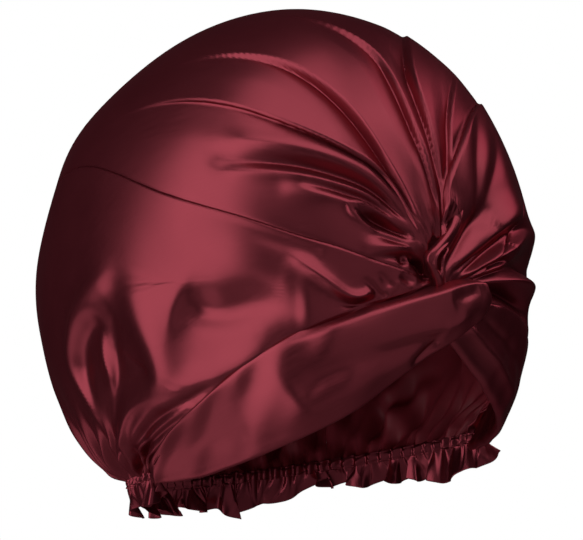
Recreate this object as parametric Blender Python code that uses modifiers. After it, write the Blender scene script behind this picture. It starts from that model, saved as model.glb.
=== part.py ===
"""Sleep bonnet in dyed satin, shown in the form it takes when worn.

The wearer faces -Y and +Z is up. The origin is in the middle of the opening the head goes through.
The cloth of the crown is laid out by two numbers: "across", which runs from the wearer's right ear (0)
over the top of the head to the left ear (1), and "along", which runs from the gathered knot at the
forehead (0) back to the elastic at the nape (1). Lengths below are in millimetres.
"""
import bpy
import numpy as np

MM = 0.001

# The bag the crown fills out: an egg with a flatter top than bottom.
BAG_MIDDLE = np.array([0.0, 13.0, 58.0])
BAG_HALF_WIDTH = 108.0
BAG_HALF_DEPTH = 120.0
BAG_HEIGHT_ABOVE = 121.0
BAG_DEPTH_BELOW = 135.0

# The elastic at the nape runs from ear to ear round the back of the opening.
ELASTIC_MIDDLE_Y = -12.0
ELASTIC_HALF_WIDTH = 86.0
ELASTIC_HALF_DEPTH = 88.0
ELASTIC_NAPE_Z = -48.5
ELASTIC_RISE_TO_EARS = 26.5
ELASTIC_END_ANGLE = 93.0

CASING_HEIGHT = 7.0
FRILL_HEIGHT = 14.0
FRILL_FLARE = 3.0
FRILL_DEPTH_OF_WAVES = 10.0
FRILL_TOP_SHARE = 0.3

CROWN_WALL = 1.2
BAND_WALL = 1.6
TWIST_WALL = 1.4
CASING_WALL = 2.4
PANEL_GAP = 0.6
EDGE_GAP = 0.9

# The crown's cloth starts just off the knot, and sinks into it by the depth of the pit.
CROWN_START = 0.018
PIT_DEPTH = 4.0
PIT_END = 0.07
PIT_SLOPE = 0.05

# Folds die out over these shares of the cloth at the front edges and at the elastic.
CALM_EDGE = 0.03
CALM_AT_ELASTIC = 0.05

# The cloth from the left side of the head laps over the rest, and stands proud of it by this much.
LAP_PLACE = 0.72
LAP_WIDTH = 0.03
LAP_HEIGHT = 3.0
LAP_END = 0.42

# Where the middle line of the crown's cloth passes from ear to ear, as directions from the bag's middle.
ARCH = np.array([
    # across, x,    y,     z
    [0.00, -0.66, -0.74, -0.15],
    [0.12, -0.93, -0.33, 0.08],
    [0.25, -0.88, 0.20, 0.42],
    [0.38, -0.50, 0.32, 0.80],
    [0.50, 0.00, 0.34, 0.94],
])

# Where the cloth of the crown gathers at the forehead: the right side of the head pulls up under the
# strand and the left side runs down into it.
KNOT_LINE = np.array([
    # across, x,   y,     z
    [-0.06, -3.0, -107.0, 65.0],
    [0.05, -3.0, -107.0, 68.0],
    [0.12, -4.0, -106.5, 76.0],
    [0.30, -3.0, -105.5, 80.0],
    [0.60, -0.5, -105.5, 81.0],
    [0.68, 1.0, -106.0, 78.0],
    [0.73, 0.5, -107.5, 62.0],
    [0.86, 3.0, -107.5, 60.0],
    [1.06, 7.0, -107.0, 58.0],
])

# Front edge of the crown, and the long seam above it: the same on both sides of the head.
FRONT_EDGE = np.array([
    # along, across
    [0.00, -0.032],
    [0.10, -0.026],
    [0.20, -0.016],
    [0.36, -0.008],
    [0.55, -0.003],
    [0.75, 0.001],
    [0.87, 0.012],
    [1.00, 0.026],
])
LONG_SEAM = np.array([
    # along, across
    [0.00, 0.020],
    [0.06, 0.040],
    [0.14, 0.054],
    [0.21, 0.070],
    [0.28, 0.086],
    [0.36, 0.114],
    [0.46, 0.160],
    [0.60, 0.265],
    [0.75, 0.303],
    [1.00, 0.305],
])

# Folds that fan out from the knot or up from the ears. Height is out of the cloth, a dent is negative.
# A fold rises over the first part of its length and dies out over the last part.
FOLD_RISE_SHARE = 0.3
FOLD_FALL_SHARE = 0.5
FOLDS = np.array([
    # across, half width, start, end,  height
    [0.080, 0.025, 0.03, 0.22, -2.0],
    [0.115, 0.025, 0.04, 0.28, 2.0],
    [0.178, 0.030, 0.04, 0.38, -5.0],
    [0.225, 0.030, 0.04, 0.45, 3.0],
    [0.320, 0.035, 0.04, 0.38, -3.0],
    [0.430, 0.070, 0.04, 0.45, 3.0],
    [0.545, 0.035, 0.04, 0.32, -4.5],
    [0.620, 0.030, 0.04, 0.34, -4.0],
    [0.705, 0.025, 0.06, 0.32, -2.5],
    [0.775, 0.050, 0.08, 0.40, 4.0],
    [0.845, 0.030, 0.06, 0.30, -4.0],
    [0.912, 0.025, 0.08, 0.44, -4.0],
    [0.955, 0.025, 0.12, 0.60, -5.0],
    [0.045, 0.030, 0.38, 0.62, -4.0],
    [0.060, 0.025, 0.60, 0.92, 4.5],
    [0.092, 0.022, 0.66, 0.98, -4.0],
    [0.130, 0.022, 0.70, 0.98, -3.5],
    [0.158, 0.025, 0.62, 0.96, 4.0],
    [0.940, 0.025, 0.60, 0.92, 4.5],
    [0.908, 0.022, 0.66, 0.98, -4.0],
    [0.842, 0.025, 0.62, 0.96, 4.0],
])

# Soft bulges and hollows that set the outline, as directions from the bag's middle.
BULGES = np.array([
    # x,    y,     z,     spread, height
    [0.60, -0.20, 0.78, 0.35, 3.0],
    [0.10, 0.10, 0.99, 0.30, 0.5],
    [-0.50, 0.30, 0.81, 0.35, -2.5],
    [-0.80, 0.40, 0.45, 0.30, 3.0],
    [-0.80, 0.50, -0.15, 0.35, 5.5],
    [-0.70, 0.50, -0.50, 0.25, 6.0],
    [0.80, -0.50, -0.30, 0.26, -6.0],
    [0.60, 0.70, 0.30, 0.50, 3.0],
    [0.00, 0.95, -0.20, 0.50, 3.0],
])

# Gathers where the crown runs into the elastic.
GATHER_COUNT = 9
GATHER_HEIGHT = 3.0
GATHER_START = 0.74

# Lower edge of the wearer's right brim, a row per section from its turned end to the ear.
# "along" places the upper edge on the front edge of the crown; "out" lifts the section off the crown.
RIGHT_BRIM = np.array([
    # along, out,  low x,  low y,  low z, belly
    [0.17, 1.6, -19.0, -103.5, 26.0, 5.0],
    [0.26, 0.9, -33.0, -100.5, 15.5, 7.5],
    [0.36, 0.5, -47.0, -92.0, 7.0, 7.0],
    [0.46, 0.3, -59.0, -79.5, -1.5, 4.5],
    [0.56, 0.2, -67.0, -64.5, -9.0, 2.0],
    [0.66, 0.0, -73.0, -48.0, -17.0, 0.8],
    [0.76, -1.0, -77.0, -31.0, -24.0, 0.5],
    [0.85, -2.6, -78.5, -19.0, -29.0, 0.5],
    [0.93, -4.6, -79.0, -9.0, -31.0, 0.5],
])
# The part of the right brim that crosses the knot and turns back at its end.
RIGHT_BRIM_TURN = np.array([
    # high x, high y, high z, low x,  low y,  low z, belly
    [24.0, -109.0, 62.0, 25.0, -108.8, 57.0, 0.5],
    [20.5, -110.5, 65.5, 22.5, -110.5, 53.0, 1.5],
    [12.0, -112.5, 66.5, 15.5, -112.0, 47.5, 2.5],
    [2.0, -113.2, 65.5, 6.0, -111.6, 41.5, 3.0],
    [-9.0, -111.8, 63.0, -6.0, -109.0, 35.0, 4.0],
])

# Wearer's left brim: it comes out from under the right one below the knot.
LEFT_BRIM = np.array([
    # along, out,  low x, low y,  low z, belly
    [0.17, 0.2, 12.0, -103.0, 39.0, 0.5],
    [0.26, 0.2, 27.5, -97.0, 20.5, 2.0],
    [0.36, 0.2, 39.5, -89.5, 9.5, 3.0],
    [0.46, 0.2, 53.0, -77.0, -0.8, 4.0],
    [0.56, 0.2, 64.0, -62.5, -9.5, 4.0],
    [0.66, 0.0, 71.5, -46.5, -18.0, 4.0],
    [0.76, -1.0, 76.5, -30.5, -24.5, 3.0],
    [0.85, -2.6, 78.5, -19.0, -29.0, 2.0],
    [0.93, -4.6, 79.0, -9.0, -31.0, 1.0],
])

# The strand of gathered cloth that lies over the knot and dives under the brim.
TWIST = np.array([
    # left x, left y, left z, mid x,  mid y,  mid z, right x, right y, right z
    [9.7, -105.4, 92.2, 14.0, -106.4, 93.5, 18.0, -106.4, 94.0],
    [6.0, -106.8, 88.0, 11.0, -107.8, 89.2, 15.5, -107.7, 89.5],
    [0.0, -107.8, 82.8, 6.0, -109.0, 83.6, 11.0, -109.2, 83.5],
    [-6.1, -108.4, 77.8, 0.5, -109.6, 77.7, 6.5, -109.2, 77.5],
    [-5.2, -109.2, 70.5, 0.0, -110.2, 69.8, 4.5, -109.2, 69.0],
    [-1.0, -109.4, 58.5, 3.0, -109.8, 58.0, 7.0, -109.2, 57.5],
    [2.5, -108.6, 50.0, 6.0, -109.0, 49.5, 9.0, -108.4, 49.0],
])

CROWN_RED = (0.135, 0.016, 0.024, 1.0)
BRIM_RED = (0.150, 0.018, 0.027, 1.0)
CASING_RED = (0.105, 0.012, 0.019, 1.0)


def clear_scene():
    for old in list(bpy.data.objects):
        bpy.data.objects.remove(old, do_unlink=True)


def unit(vectors):
    return vectors / np.linalg.norm(vectors, axis=-1, keepdims=True)


def ease(value):
    """Rises smoothly from 0 to 1 as the value goes from 0 to 1."""
    held = np.clip(value, 0.0, 1.0)
    return held * held * (3.0 - 2.0 * held)


def curve_through(places, table_places, table_values):
    """A smooth curve through the rows of a table, with the slope at a row taken from its neighbours."""
    slopes = np.gradient(table_values, table_places, axis=0)
    row = np.clip(np.searchsorted(table_places, places) - 1, 0, len(table_places) - 2)
    step = table_places[row + 1] - table_places[row]
    share = (places - table_places[row]) / step
    if table_values.ndim > 1:
        step, share = step[..., None], share[..., None]
    return ((1 + 2 * share) * (1 - share) ** 2 * table_values[row]
            + share * (1 - share) ** 2 * step * slopes[row]
            + share ** 2 * (3 - 2 * share) * table_values[row + 1]
            + share ** 2 * (share - 1) * step * slopes[row + 1])


def bag_radii(height):
    upright = np.where(height > 0, BAG_HEIGHT_ABOVE, BAG_DEPTH_BELOW)
    return np.stack([np.full_like(upright, BAG_HALF_WIDTH), np.full_like(upright, BAG_HALF_DEPTH), upright],
                    axis=-1)


def elastic_line(across):
    """Middle line of the elastic, as points for across from 0 to 1."""
    angle = np.radians(ELASTIC_END_ANGLE * (2 * across - 1))
    rise = (1 - np.cos(angle)) / (1 - np.cos(np.radians(ELASTIC_END_ANGLE)))
    return np.stack([ELASTIC_HALF_WIDTH * np.sin(angle),
                     ELASTIC_MIDDLE_Y + ELASTIC_HALF_DEPTH * np.cos(angle),
                     ELASTIC_NAPE_Z + ELASTIC_RISE_TO_EARS * rise], axis=-1)


def bag_point(across, along):
    """Point of the smooth bag: each thread line is an arc of a circle drawn on the bag, from the knot
    over the arch to the elastic, drawn in or out near its end so that it meets the elastic."""
    mirrored = ARCH[-2::-1] * np.array([-1.0, -1.0, 1.0, 1.0]) + np.array([1.0, 0.0, 0.0, 0.0])
    arch = np.concatenate([ARCH, mirrored])
    over = unit(curve_through(across, arch[:, 0], arch[:, 1:]))
    top_of_casing = elastic_line(across) + np.array([0.0, 0.0, CASING_HEIGHT / 2 + EDGE_GAP])
    end = top_of_casing - BAG_MIDDLE
    end = end / bag_radii(end[..., 2])
    end_reach = np.linalg.norm(end, axis=-1)
    end = unit(end)
    knot = curve_through(across, KNOT_LINE[:, 0], KNOT_LINE[:, 1:]) - BAG_MIDDLE
    knot = unit(knot / bag_radii(knot[..., 2]))

    axis = unit(np.cross(over - knot, end - knot))
    middle = axis * (axis * knot).sum(axis=-1, keepdims=True)
    first = unit(knot - middle)
    second = np.cross(axis, first)
    radius = np.linalg.norm(knot - middle, axis=-1)
    turn = np.arctan2(((end - middle) * second).sum(-1), ((end - middle) * first).sum(-1)) % (2 * np.pi)
    angle = turn * along
    way = middle + radius[..., None] * (first * np.cos(angle)[..., None] + second * np.sin(angle)[..., None])
    reach = 1 + (end_reach - 1) * along ** 4
    return BAG_MIDDLE + way * bag_radii(way[..., 2]) * reach[..., None]


def bag_outward(points):
    offset = points - BAG_MIDDLE
    return unit(offset / bag_radii(offset[..., 2]) ** 2)


def fold_height(across, along):
    height = np.zeros_like(across)
    for place, half_width, start, end, fold in FOLDS:
        side = np.exp(-((across - place) / half_width) ** 2)
        length = end - start
        rise = ease((along - start) / (FOLD_RISE_SHARE * length))
        fall = ease((end - along) / (FOLD_FALL_SHARE * length))
        height = height + fold * side * rise * fall
    return height


def bulge_height(points):
    height = np.zeros(points.shape[:-1])
    offset = points - BAG_MIDDLE
    direction = unit(offset / bag_radii(offset[..., 2]))
    for row in BULGES:
        far = 1 - (direction * unit(row[:3])).sum(axis=-1)
        height = height + row[4] * np.exp(-far / (0.5 * row[3] ** 2))
    return height


def crown_point(across, along):
    """Point of the crown's outer face: the smooth bag with its folds, bulges, gathers and knot pit."""
    points = bag_point(across, along)
    outward = bag_outward(points)
    calm = ease((across + CALM_EDGE) / (2 * CALM_EDGE)) * ease((1 + CALM_EDGE - across) / (2 * CALM_EDGE))
    gathers = GATHER_HEIGHT * np.cos(2 * np.pi * GATHER_COUNT * across)
    gathers = gathers * ease((along - GATHER_START) / (1 - GATHER_START))
    lap = LAP_HEIGHT * ease((across - LAP_PLACE) / LAP_WIDTH) * ease((LAP_END - along) / (LAP_END / 2))
    height = (fold_height(across, along) + gathers + lap) * calm + bulge_height(points)
    height = height * ease((1 - along) / CALM_AT_ELASTIC)
    pit = PIT_DEPTH * ease((PIT_END - along) / PIT_SLOPE)
    return points + outward * (height - pit)[..., None]


def across_of_line(line, along):
    return curve_through(along, line[:, 0], line[:, 1])


def share_of_gap(across, along, gap):
    """How much "across" makes up a gap in millimetres at this place of the crown."""
    step = 0.002
    width = np.linalg.norm(bag_point(across + step, along) - bag_point(across - step, along), axis=-1)
    return gap * 2 * step / width


def satin(name, colour):
    material = bpy.data.materials.new(name)
    material.use_nodes = True
    shader = material.node_tree.nodes["Principled BSDF"]
    shader.inputs["Base Color"].default_value = colour
    shader.inputs["Roughness"].default_value = 0.4
    shader.inputs["Metallic"].default_value = 0.0
    return material


def cloth_sheet(name, columns, rows, place, wall, colour, collection, offset=-1.0):
    """A grid of cloth laid out by place(first, second), both from 0 to 1, with its wall turned inwards."""
    bpy.ops.mesh.primitive_grid_add(x_subdivisions=columns, y_subdivisions=rows, size=1.0)
    sheet = bpy.context.active_object
    sheet.name = name
    sheet.data.name = name
    for owner in list(sheet.users_collection):
        owner.objects.unlink(sheet)
    collection.objects.link(sheet)

    flat = np.empty(len(sheet.data.vertices) * 3)
    sheet.data.vertices.foreach_get("co", flat)
    flat = flat.reshape(-1, 3) + 0.5
    points = place(flat[:, 0], flat[:, 1]) * MM
    sheet.data.vertices.foreach_set("co", points.ravel())
    sheet.data.update()

    centres = np.empty(len(sheet.data.polygons) * 3)
    normals = np.empty(len(sheet.data.polygons) * 3)
    sheet.data.polygons.foreach_get("center", centres)
    sheet.data.polygons.foreach_get("normal", normals)
    towards = centres.reshape(-1, 3) - BAG_MIDDLE * MM * np.array([1.0, 1.0, 0.5])
    if (towards * normals.reshape(-1, 3)).sum() < 0:
        sheet.data.flip_normals()

    thicken = sheet.modifiers.new("wall", "SOLIDIFY")
    thicken.thickness = wall * MM
    thicken.offset = offset
    thicken.use_even_offset = False
    sheet.data.materials.append(satin(name, colour))
    sheet.data.shade_smooth()
    return sheet, flat


def side_panel(first, second, side):
    """Side panel between the crown's front edge and the long seam; side is 0 for right and 1 for left."""
    along = CROWN_START + (1 - CROWN_START) * second
    low = across_of_line(FRONT_EDGE, along)
    high = across_of_line(LONG_SEAM, along)
    high = high - share_of_gap(high, along, PANEL_GAP / 2)
    across = low + (high - low) * first
    return crown_point(1 - across if side else across, along)


def centre_panel(first, second):
    along = CROWN_START + (1 - CROWN_START) * second
    low = across_of_line(LONG_SEAM, along)
    low = low + share_of_gap(low, along, PANEL_GAP / 2)
    return crown_point(low + (1 - 2 * low) * first, along)


def brim_sections(rows, side):
    """Upper edge, lower edge and belly of a brim's sections that follow the front edge of the crown."""
    along = rows[:, 0]
    across = across_of_line(FRONT_EDGE, along)
    upper = bag_point(1 - across if side else across, along)
    lower = rows[:, 2:5]
    down = unit(lower - upper)
    upper = upper + bag_outward(upper) * rows[:, 1:2] + down * EDGE_GAP
    return np.concatenate([upper, lower, rows[:, 5:6]], axis=1)


def brim_point(first, second, sections):
    """Brim surface: straight across from upper to lower edge, with a belly in the middle."""
    places = np.linspace(0.0, 1.0, len(sections))
    section = curve_through(second, places, sections)
    upper, lower, belly = section[..., 0:3], section[..., 3:6], section[..., 6]
    points = upper + (lower - upper) * first[..., None]
    swell = belly * 4 * first * (1 - first)
    return points + bag_outward(points) * swell[..., None]


def right_brim(first, second):
    sections = np.concatenate([RIGHT_BRIM_TURN, brim_sections(RIGHT_BRIM, 0)])
    return brim_point(first, second, sections)


def left_brim(first, second):
    return brim_point(first, second, brim_sections(LEFT_BRIM, 1))


def twist_point(first, second):
    """Strand surface: each section is a bow through its left, middle and right points."""
    section = curve_through(second, np.linspace(0.0, 1.0, len(TWIST)), TWIST)
    left, middle, right = section[..., 0:3], section[..., 3:6], section[..., 6:9]
    share = first[..., None]
    return (left * (1 - share) * (1 - 2 * share) + middle * 4 * share * (1 - share)
            + right * share * (2 * share - 1))


def casing_point(first, second):
    line = elastic_line(first)
    rise = CASING_HEIGHT * (0.5 - second)
    return line + rise[..., None] * np.array([0.0, 0.0, 1.0])


def frill_point(first, second):
    line = elastic_line(first)
    out = unit(bag_outward(line) * np.array([1.0, 1.0, 0.0]))
    drop = CASING_HEIGHT / 2 + PANEL_GAP + FRILL_HEIGHT * second
    down = drop[..., None] * np.array([0.0, 0.0, -1.0])
    return line + out * (FRILL_FLARE * second - CASING_WALL / 2)[..., None] + down


def make_bonnet():
    clear_scene()
    bonnet = bpy.data.collections.new("sleep_bonnet")
    bpy.context.scene.collection.children.link(bonnet)

    cloth_sheet("crown_centre_panel", 38, 24, centre_panel, CROWN_WALL, CROWN_RED, bonnet)
    cloth_sheet("crown_side_right", 12, 24, lambda a, b: side_panel(a, b, 0), CROWN_WALL, CROWN_RED, bonnet)
    cloth_sheet("crown_side_left", 12, 24, lambda a, b: side_panel(a, b, 1), CROWN_WALL, CROWN_RED, bonnet)
    cloth_sheet("front_band_right", 6, 30, right_brim, BAND_WALL, BRIM_RED, bonnet)
    cloth_sheet("front_band_left", 6, 22, left_brim, BAND_WALL, BRIM_RED, bonnet)
    cloth_sheet("twist_strand", 8, 10, twist_point, TWIST_WALL, BRIM_RED, bonnet)
    cloth_sheet("nape_casing", 56, 2, casing_point, CASING_WALL, CASING_RED, bonnet)

    frill, flat = cloth_sheet("nape_ruffle", 56, 3, frill_point, FRILL_DEPTH_OF_WAVES, CROWN_RED, bonnet,
                              offset=0.0)
    depth = frill.vertex_groups.new(name="depth of waves")
    for index, down in enumerate(flat[:, 1]):
        depth.add([index], FRILL_TOP_SHARE + (1 - FRILL_TOP_SHARE) * float(down), "REPLACE")
    frill.modifiers["wall"].vertex_group = depth.name


make_bonnet()
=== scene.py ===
"""Sleep bonnet in dyed satin, shown in the form it takes when worn, with the camera of the photograph.

The wearer faces -Y and +Z is up. Sizes are in millimetres and turn to metres when a mesh is made; the
flat sizes of the sheets and the studio round the bonnet are in metres.
"""

import bpy
import numpy as np
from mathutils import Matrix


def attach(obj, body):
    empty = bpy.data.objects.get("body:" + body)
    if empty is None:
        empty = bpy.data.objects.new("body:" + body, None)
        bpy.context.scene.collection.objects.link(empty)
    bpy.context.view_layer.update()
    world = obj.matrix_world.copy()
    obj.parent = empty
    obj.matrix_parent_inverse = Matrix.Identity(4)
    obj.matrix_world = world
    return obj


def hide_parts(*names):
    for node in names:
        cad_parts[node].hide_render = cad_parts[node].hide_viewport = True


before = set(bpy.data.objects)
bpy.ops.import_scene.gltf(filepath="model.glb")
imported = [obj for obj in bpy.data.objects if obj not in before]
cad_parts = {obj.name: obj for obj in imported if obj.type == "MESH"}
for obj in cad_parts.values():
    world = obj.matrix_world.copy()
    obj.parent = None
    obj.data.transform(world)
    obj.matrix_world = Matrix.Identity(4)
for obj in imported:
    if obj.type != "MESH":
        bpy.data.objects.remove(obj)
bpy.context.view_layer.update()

# CROWN. Three panels of satin make one bag: a wide centre panel and a panel at each side, joined by two
# long seams. The bag is cut much wider than the head, gathered into a knot at the forehead and into the
# elastic at the nape.
MM = 0.001
BAG_MIDDLE = np.array([0.0, 13.0, 58.0])
BAG_HALF_WIDTH = 108.0
BAG_HALF_DEPTH = 120.0
BAG_HEIGHT_ABOVE = 121.0
BAG_DEPTH_BELOW = 135.0
ELASTIC_MIDDLE_Y = -12.0
ELASTIC_HALF_WIDTH = 86.0
ELASTIC_HALF_DEPTH = 88.0
ELASTIC_NAPE_Z = -48.5
ELASTIC_RISE_TO_EARS = 26.5
ELASTIC_END_ANGLE = 93.0    # degrees from the nape round to an ear
CLOTH = 0.5

# The cloth is laid out by "across", from the wearer's right ear (0) over the top to the left ear (1), and
# "along", from the knot (0) back to the elastic (1). A line along starts on the knot line, passes over
# the arch, which is given as directions from the bag's middle for the right half and mirrored, and ends
# on the elastic.
ARCH = np.array([
    # across, x,    y,     z
    [0.00, -0.66, -0.74, -0.15],
    [0.12, -0.93, -0.33, 0.08],
    [0.25, -0.88, 0.20, 0.42],
    [0.38, -0.50, 0.32, 0.80],
    [0.50, 0.00, 0.34, 0.94],
])
KNOT_LINE = np.array([
    # across, x,   y,     z
    [-0.06, -3.0, -107.0, 65.0],
    [0.05, -3.0, -107.0, 68.0],
    [0.12, -4.0, -106.5, 76.0],
    [0.30, -3.0, -105.5, 80.0],
    [0.60, -0.5, -105.5, 81.0],
    [0.68, 1.0, -106.0, 78.0],
    [0.73, 0.5, -107.5, 62.0],
    [0.86, 3.0, -107.5, 60.0],
    [1.06, 7.0, -107.0, 58.0],
])
# The right front edge and the right long seam; the left ones mirror them.
FRONT_EDGE = np.array([
    # along, across
    [0.00, -0.032],
    [0.10, -0.026],
    [0.20, -0.016],
    [0.36, -0.008],
    [0.55, -0.003],
    [0.75, 0.001],
    [0.87, 0.012],
    [1.00, 0.026],
])
LONG_SEAM = np.array([
    # along, across
    [0.00, 0.020],
    [0.06, 0.040],
    [0.14, 0.054],
    [0.21, 0.070],
    [0.28, 0.086],
    [0.36, 0.114],
    [0.46, 0.160],
    [0.60, 0.265],
    [0.75, 0.303],
    [1.00, 0.305],
])


def unit(vectors):
    """Each vector divided by its length."""
    return vectors / np.linalg.norm(vectors, axis=-1, keepdims=True)


def ease(value):
    """Three squares less two cubes: rises smoothly from 0 to 1 as the value goes from 0 to 1."""
    held = np.clip(value, 0.0, 1.0)
    return held * held * (3.0 - 2.0 * held)


def curve_through(places, table_places, table_values):
    """A cubic between each two rows of a table, with the slope at a row taken from its neighbours."""
    slopes = np.gradient(table_values, table_places, axis=0)
    row = np.clip(np.searchsorted(table_places, places) - 1, 0, len(table_places) - 2)
    step = table_places[row + 1] - table_places[row]
    share = (places - table_places[row]) / step
    if table_values.ndim > 1:
        step = step[..., None]
        share = share[..., None]
    return ((1 + 2 * share) * (1 - share) ** 2 * table_values[row]
            + share * (1 - share) ** 2 * step * slopes[row]
            + share ** 2 * (3 - 2 * share) * table_values[row + 1]
            + share ** 2 * (share - 1) * step * slopes[row + 1])


def through_rows(rows, places):
    """A cubic through the evenly spaced rows of a table, at places from its first (0) to its last (1)."""
    table = np.array(rows)
    return curve_through(places, np.linspace(0, 1, len(table)), table)


def bag_radii(height):
    """Half width, half depth and half height of the bag; the last one is less above its middle."""
    upright = np.where(height > 0, BAG_HEIGHT_ABOVE, BAG_DEPTH_BELOW)
    return np.stack([np.full_like(upright, BAG_HALF_WIDTH), np.full_like(upright, BAG_HALF_DEPTH), upright],
                    axis=-1)


def elastic_line(across):
    """An arc of an ellipse round the nape that rises towards the ears with one less the cosine."""
    angle = np.radians(ELASTIC_END_ANGLE * (2 * across - 1))
    rise = (1 - np.cos(angle)) / (1 - np.cos(np.radians(ELASTIC_END_ANGLE)))
    return np.stack([ELASTIC_HALF_WIDTH * np.sin(angle),
                     ELASTIC_MIDDLE_Y + ELASTIC_HALF_DEPTH * np.cos(angle),
                     ELASTIC_NAPE_Z + ELASTIC_RISE_TO_EARS * rise], axis=-1)


def bag_point(across, along):
    """An arc of a circle on the bag, scaled to a ball, from the knot over the arch to the elastic; it is
    drawn in or out near its end, by the fourth power of along, so that it meets the elastic."""
    across, along = np.broadcast_arrays(across, along)
    mirrored = ARCH[-2::-1] * np.array([-1.0, -1.0, 1.0, 1.0]) + np.array([1.0, 0.0, 0.0, 0.0])
    arch = np.concatenate([ARCH, mirrored])
    over = unit(curve_through(across, arch[:, 0], arch[:, 1:]))
    end = elastic_line(across) - BAG_MIDDLE
    end = end / bag_radii(end[..., 2])
    end_reach = np.linalg.norm(end, axis=-1)
    end = unit(end)
    knot = curve_through(across, KNOT_LINE[:, 0], KNOT_LINE[:, 1:]) - BAG_MIDDLE
    knot = unit(knot / bag_radii(knot[..., 2]))
    axis = unit(np.cross(over - knot, end - knot))
    middle = axis * (axis * knot).sum(axis=-1, keepdims=True)
    first = unit(knot - middle)
    second = np.cross(axis, first)
    radius = np.linalg.norm(knot - middle, axis=-1)
    turn = np.arctan2(((end - middle) * second).sum(-1), ((end - middle) * first).sum(-1)) % (2 * np.pi)
    angle = (turn * along)[..., None]
    way = middle + radius[..., None] * (first * np.cos(angle) + second * np.sin(angle))
    reach = 1 + (end_reach - 1) * along ** 4
    return BAG_MIDDLE + way * bag_radii(way[..., 2]) * reach[..., None]


def bag_outward(points):
    """The way straight out of the bag: the offset from its middle over the squares of its radii."""
    offset = points - BAG_MIDDLE
    return unit(offset / bag_radii(offset[..., 2]) ** 2)


# A fold is a line on the cloth. "left" and "right" are its widths on either hand for someone who walks
# the line from its first row and sees the cloth from outside; "lean" tips the crest to the right.
# The knot's near side, from the front edge over the long seam up to the near lap.
NEAR_FOLDS = [
    # along, across, height, left, right, and lean where there is any
    # at the knot: a deep groove and its branch, then a ridge and two grooves that run down beside them
    [[.062, .070, 0, 1.4, 1.4], [.042, .074, -4.5, 1.8, 1.8], [.022, .070, -7, 2.2, 2],
     [.006, .030, -6, 2, 2]],
    [[.060, .067, 0, 1.2, 1.2], [.068, .065, -3.5, 1.4, 1.4], [.078, .062, -3, 1.4, 1.4],
     [.088, .060, 0, 1.2, 1.2]],
    [[.010, .150, 0, 1.2, 1.2], [.035, .118, 1.6, 1.6, 1.4], [.075, .092, 2.4, 2.4, 2],
     [.125, .076, 1.8, 4, 4], [.180, .066, 0, 6, 6]],
    [[.025, .095, 0, 1, 1], [.045, .086, -1.8, 1.2, 1.2], [.080, .071, -2.4, 1.3, 1.3],
     [.130, .060, -1.2, 1.8, 1.8], [.175, .054, 0, 2, 2]],
    [[.020, .130, 0, 1, 1], [.050, .108, -1.6, 1.2, 1.2], [.090, .099, -1.8, 1.8, 1.8],
     [.150, .096, 0, 3, 3]],
    # a deep hollow and the rim that hooks round its end
    [[.030, .140, 0, 1.4, 1.4], [.060, .132, -3.5, 1.8, 1.8], [.090, .128, -6, 2.4, 2.4],
     [.120, .127, -5.5, 3.2, 2.8], [.140, .126, -2, 3, 2.6], [.150, .126, 0, 2, 2]],
    [[.110, .106, 0, 1.2, 1.2], [.138, .108, 1.8, 1.3, 1.3], [.160, .126, 2.2, 1.3, 1.5],
     [.140, .146, 1.8, 1.3, 1.6], [.100, .148, 1.6, 1.3, 1.6], [.060, .148, 0, 1.2, 1.2]],
    # longer ridges and grooves above the hollow, up to the near lap
    [[.12, .143, 0, 2, 2], [.17, .138, 2, 2.4, 3, -0.6], [.22, .137, 1.8, 3.5, 4], [.28, .142, 0, 5, 6]],
    [[.08, .172, 0, 1.4, 1.4], [.12, .167, 1.8, 1.2, 1.6], [.18, .160, 2.4, 1.4, 2, -0.6],
     [.25, .156, 2.4, 1.8, 2.4, -0.6], [.31, .156, 1.4, 2.4, 3], [.37, .160, 0, 4, 5]],
    [[.07, .162, 0, 1.2, 1.2], [.11, .157, -1.8, 1.3, 1.3], [.17, .150, -2.2, 1.6, 1.6],
     [.24, .147, 0, 3, 3]],
    [[.04, .182, 0, 1.6, 1.6], [.08, .188, -2.8, 2.2, 2.2], [.12, .188, -4.4, 3, 3],
     [.18, .176, -4.8, 3, 3.6], [.26, .170, -4.2, 3.2, 4.4], [.33, .170, -2.4, 4, 5], [.38, .174, 0, 6, 8]],
    [[.05, .200, 0, 2, 2], [.10, .204, 2.6, 2.4, 4], [.15, .198, 4.2, 2.8, 6], [.20, .190, 4.4, 3.2, 7],
     [.27, .184, 3.4, 4.2, 8], [.36, .188, 0, 7, 8]],
    # a ridge and a valley that rise from the front edge to the long seam
    [[.17, .010, 0, 3, 3], [.20, .000, 3, 2.6, 2.4], [.24, .006, 4, 2.8, 2.6], [.28, .040, 3, 3.4, 3],
     [.33, .074, 0, 5, 4]],
    [[.16, -.010, 0, 3, 3], [.20, -.015, -2.5, 2.6, 3], [.25, -.008, -3, 2.6, 4], [.30, .020, 0, 5, 6]],
    # small creases between the seam and the brim
    [[.158, .034, 0, 2, 2], [.160, .016, 0.6, 2.2, 2.2], [.150, -.006, 0.9, 2.2, 2.2],
     [.128, .000, 0.8, 2.2, 2.2], [.104, .008, 0.8, 2.2, 2.2], [.086, -.010, 0.7, 2, 2],
     [.060, -.022, 0, 1.6, 1.6]],
    [[.144, .038, 0, 2, 2], [.136, .022, -1.1, 2.6, 2.6], [.126, .008, -1.1, 2.6, 2.6],
     [.118, -.004, 0, 2, 2]],
    [[.096, .030, 0, 1.8, 1.8], [.084, .020, -1.2, 2.2, 2.2], [.068, .012, -1.3, 2.2, 2.2],
     [.052, .004, 0, 1.6, 1.6]],
    [[.190, .030, 0, 2, 2], [.176, .012, -1.5, 2.6, 2.6], [.160, -.010, -1.6, 2.6, 2.6],
     [.148, -.020, 0, 2, 2]],
]
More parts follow.
